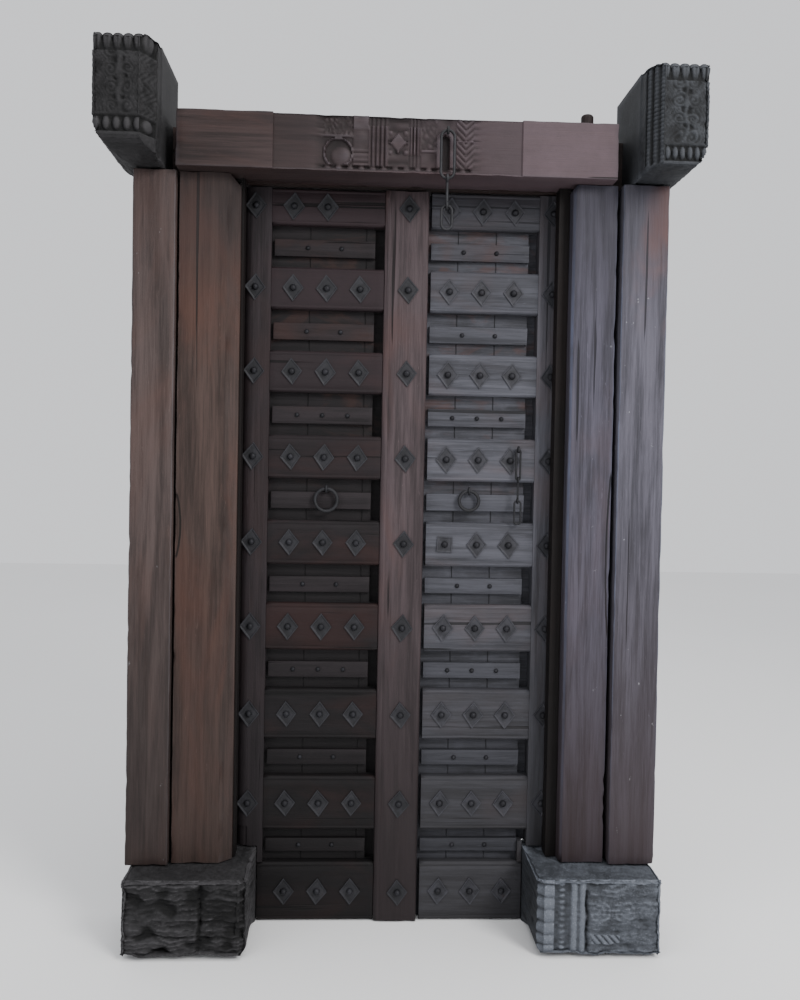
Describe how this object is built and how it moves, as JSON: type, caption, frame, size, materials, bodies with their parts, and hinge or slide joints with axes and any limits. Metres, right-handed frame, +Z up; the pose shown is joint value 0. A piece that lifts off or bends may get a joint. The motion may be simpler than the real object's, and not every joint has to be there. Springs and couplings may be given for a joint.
{
  "type": "carved temple door",
  "caption": "Carved timber temple door: two studded, panelled leaves on wooden pintles in a post and lintel frame with base blocks, brackets, ring pulls, chain and hasp.",
  "frame": {"origin": "bottom centre of the box around the whole object, on the floor between the base blocks", "axes": "+Z up, the carved front faces -Y, +X to the right as seen from the front"},
  "size_m": [1.471, 0.32, 2.224],
  "materials": {
    "frame_wood": "weathered, waxed",
    "carved_wood": "dark, weathered, carved",
    "dark_wood": "dark, unfinished",
    "left_leaf_wood": "aged, red-brown",
    "right_leaf_wood": "aged, blue-grey",
    "iron": "forged, blackened"
  },
  "bodies": {
    "frame": {"base_block_left": "carved_wood", "base_block_right": "carved_wood", "inner_post_left": "frame_wood", "inner_post_right": "frame_wood", "outer_post_left": "frame_wood", "outer_post_right": "frame_wood", "rear_jamb_left": "dark_wood", "rear_jamb_right": "dark_wood", "front_lintel": "frame_wood", "rear_head": "dark_wood", "bracket_left": "carved_wood", "bracket_right": "carved_wood", "stop_left": "dark_wood", "stop_right": "dark_wood", "lintel_tenons": "dark_wood", "chain_staple": "iron"},
    "left_leaf": {"left_rail_1": "left_leaf_wood", "left_rail_2": "left_leaf_wood", "left_rail_3": "left_leaf_wood", "left_rail_4": "left_leaf_wood", "left_rail_5": "left_leaf_wood", "left_rail_6": "left_leaf_wood", "left_rail_7": "left_leaf_wood", "left_rail_8": "left_leaf_wood", "left_rail_9": "left_leaf_wood", "left_outer_stile": "left_leaf_wood", "meeting_stile": "left_leaf_wood", "left_back_stile": "dark_wood", "left_boards": "left_leaf_wood", "left_battens": "left_leaf_wood", "left_rosettes": "iron", "left_studs": "iron", "left_batten_nails": "iron", "left_ring_staple": "iron"},
    "right_leaf": {"right_rail_1": "right_leaf_wood", "right_rail_2": "right_leaf_wood", "right_rail_3": "right_leaf_wood", "right_rail_4": "right_leaf_wood", "right_rail_5": "right_leaf_wood", "right_rail_6": "right_leaf_wood", "right_rail_7": "right_leaf_wood", "right_rail_8": "right_leaf_wood", "right_rail_9": "right_leaf_wood", "right_outer_stile": "right_leaf_wood", "right_back_stile": "dark_wood", "right_boards": "right_leaf_wood", "right_battens": "right_leaf_wood", "right_rosettes": "iron", "right_studs": "iron", "right_batten_nails": "iron", "right_ring_staple": "iron", "hasp_staple": "iron"},
    "left_ring": {"left_ring": "iron"},
    "right_ring": {"right_ring": "iron"},
    "hasp_link_1": {"hasp_link_1": "iron"},
    "hasp_link_2": {"hasp_link_2": "iron"},
    "hasp_link_3": {"hasp_link_3": "iron"},
    "chain_link_1": {"chain_link_1": "iron"},
    "chain_link_2": {"chain_link_2": "iron"},
    "chain_link_3": {"chain_link_3": "iron"}
  },
  "joints": [
    {"name": "left_leaf_swing", "type": "hinge", "parent": "frame", "child": "left_leaf", "pos_m": [-0.3775, 0.13, 1], "axis": [0, 0, 1], "range_deg": [0, 95]},
    {"name": "right_leaf_swing", "type": "hinge", "parent": "frame", "child": "right_leaf", "pos_m": [0.4205, 0.13, 1], "axis": [0, 0, -1], "range_deg": [0, 95]},
    {"name": "left_ring_swing", "type": "hinge", "parent": "left_leaf", "child": "left_ring", "pos_m": [-0.1785, 0.102, 1.15685], "axis": [-1, 0, 0], "range_deg": [0, 110]},
    {"name": "right_ring_swing", "type": "hinge", "parent": "right_leaf", "child": "right_ring", "pos_m": [0.2015, 0.102, 1.15685], "axis": [-1, 0, 0], "range_deg": [0, 110]},
    {"name": "hasp_1_swing", "type": "hinge", "parent": "right_leaf", "child": "hasp_link_1", "pos_m": [0.32926, 0.086, 1.26962], "axis": [-1, 0, 0], "range_deg": [0, 80]},
    {"name": "hasp_2_swing", "type": "hinge", "parent": "hasp_link_1", "child": "hasp_link_2", "pos_m": [0.32926, 0.086, 1.18962], "axis": [-1, 0, 0], "range_deg": [0, 70]},
    {"name": "hasp_3_swing", "type": "hinge", "parent": "hasp_link_2", "child": "hasp_link_3", "pos_m": [0.32926, 0.086, 1.13362], "axis": [-1, 0, 0], "range_deg": [0, 70]},
    {"name": "chain_1_swing", "type": "hinge", "parent": "frame", "child": "chain_link_1", "pos_m": [0.1115, -0.0615, 2.052], "axis": [-1, 0, 0], "range_deg": [0, 80]},
    {"name": "chain_2_swing", "type": "hinge", "parent": "chain_link_1", "child": "chain_link_2", "pos_m": [0.1115, -0.0615, 1.934], "axis": [-1, 0, 0], "range_deg": [-35, 60]},
    {"name": "chain_3_swing", "type": "hinge", "parent": "chain_link_2", "child": "chain_link_3", "pos_m": [0.1115, -0.0615, 1.866], "axis": [-1, 0, 0], "range_deg": [-35, 60]}
  ]
}
